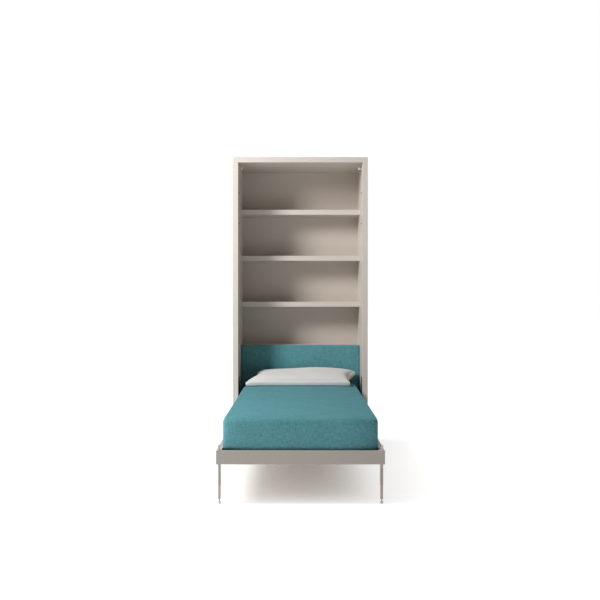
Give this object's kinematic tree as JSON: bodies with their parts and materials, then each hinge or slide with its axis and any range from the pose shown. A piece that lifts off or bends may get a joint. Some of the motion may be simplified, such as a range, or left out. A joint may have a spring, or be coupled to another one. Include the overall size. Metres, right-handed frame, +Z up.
{
  "type": "cabinet bed",
  "caption": "Upright single fold-down bed in an open shelf cabinet: sprung mattress frame on side pivots with gas struts, fold-away foot legs, padded headboard and pillow.",
  "frame": {"origin": "middle of the footprint with the bed down, on the floor", "axes": "+X to the right seen from the foot end, +Y towards the wall behind the cabinet, +Z up"},
  "size_m": [1.03, 2.284, 2.235],
  "materials": {
    "taupe_lacquer": "satin taupe lacquer on board",
    "taupe_metal": "satin taupe powder coat on steel",
    "teal_fabric": "plain woven melange upholstery cloth",
    "white_fabric": "white cotton",
    "mattress_ticking": "pale ticking",
    "board_core": "bare board",
    "beech": "clear lacquered beech",
    "dark_steel": "black painted steel",
    "bright_steel": "zinc plated steel",
    "bronze": "plain bearing bronze",
    "black_plastic": "moulded black plastic",
    "grey_plastic": "moulded grey plastic",
    "pale_plastic": "moulded off-white plastic"
  },
  "bodies": {
    "cabinet": {"side_panel_left": "taupe_lacquer", "side_panel_right": "taupe_lacquer", "top_panel": "taupe_lacquer", "base_panel": "taupe_lacquer", "lower_fascia": "taupe_lacquer", "back_panel": "taupe_lacquer", "shelf_upper": "taupe_lacquer", "shelf_middle": "taupe_lacquer", "shelf_lower": "taupe_lacquer", "shelf_pins": "beech", "headboard_ledge": "taupe_lacquer", "headboard_board": "board_core", "headboard_pad": "teal_fabric", "wall_rail": "bright_steel", "floor_glides": "black_plastic", "wall_caps": "black_plastic", "plate_screws": "bright_steel", "latch_pin_left": "pale_plastic", "latch_pin_right": "pale_plastic", "mechanism_plate_left": "dark_steel", "mechanism_plate_right": "dark_steel", "pivot_pin_left": "bright_steel", "pivot_pin_right": "bright_steel", "strut_wall_stud_left": "bright_steel", "strut_wall_stud_right": "bright_steel"},
    "bed": {"foot_board": "taupe_metal", "front_panel": "taupe_lacquer", "arm_bolts": "bright_steel", "foot_crossbar": "beech", "head_crossbar": "beech", "slats": "beech", "slat_holders": "black_plastic", "mattress": "mattress_ticking", "mattress_cover": "teal_fabric", "pillow": "white_fabric", "rail_left": "taupe_metal", "rail_right": "taupe_metal", "hinge_arm_left": "dark_steel", "hinge_arm_right": "dark_steel", "pivot_bush_left": "bronze", "pivot_bush_right": "bronze", "strut_bed_stud_left": "bright_steel", "strut_bed_stud_right": "bright_steel", "catch_left": "taupe_metal", "catch_right": "taupe_metal", "slat_beam_left": "beech", "slat_beam_right": "beech"},
    "legs": {"leg_shaft": "bright_steel", "leg_tube_left": "taupe_metal", "leg_tube_right": "taupe_metal", "leg_tip_left": "taupe_metal", "leg_tip_right": "taupe_metal", "leg_foot_left": "grey_plastic", "leg_foot_right": "grey_plastic"},
    "cylinder_left": {"strut_cylinder_left": "dark_steel"},
    "cylinder_right": {"strut_cylinder_right": "dark_steel"},
    "rod_left": {"strut_rod_left": "bright_steel"},
    "rod_right": {"strut_rod_right": "bright_steel"}
  },
  "joints": [
    {"name": "bed_fold", "type": "hinge", "parent": "cabinet", "child": "bed", "pos_m": [0, 0.698, 0.344], "axis": [-1, 0, 0], "range_deg": [0, 90], "deforming": ["pillow"]},
    {"name": "legs_fold", "type": "hinge", "parent": "bed", "child": "legs", "pos_m": [0, -1.098, 0.259], "axis": [-1, 0, 0], "range_deg": [-90, 0]},
    {"name": "strut_cylinder_left_swing", "type": "hinge", "parent": "cabinet", "child": "cylinder_left", "pos_m": [-0.449, 0.72673, 0.26507], "axis": [-1, 0, 0], "range_deg": [0, 45]},
    {"name": "strut_rod_left_swing", "type": "hinge", "parent": "bed", "child": "rod_left", "pos_m": [-0.449, 0.61907, 0.31527], "axis": [-1, 0, 0], "range_deg": [-45, 0]},
    {"name": "strut_cylinder_right_swing", "type": "hinge", "parent": "cabinet", "child": "cylinder_right", "pos_m": [0.449, 0.72673, 0.26507], "axis": [-1, 0, 0], "range_deg": [0, 45]},
    {"name": "strut_rod_right_swing", "type": "hinge", "parent": "bed", "child": "rod_right", "pos_m": [0.449, 0.61907, 0.31527], "axis": [-1, 0, 0], "range_deg": [-45, 0]}
  ],
  "couplings": [
    {"joint": "legs_fold", "follows": "bed_fold", "ratio": -1},
    {"joint": "strut_cylinder_left_swing", "follows": "bed_fold", "ratio": 0.5},
    {"joint": "strut_rod_left_swing", "follows": "bed_fold", "ratio": -0.5},
    {"joint": "strut_cylinder_right_swing", "follows": "bed_fold", "ratio": 0.5},
    {"joint": "strut_rod_right_swing", "follows": "bed_fold", "ratio": -0.5}
  ]
}
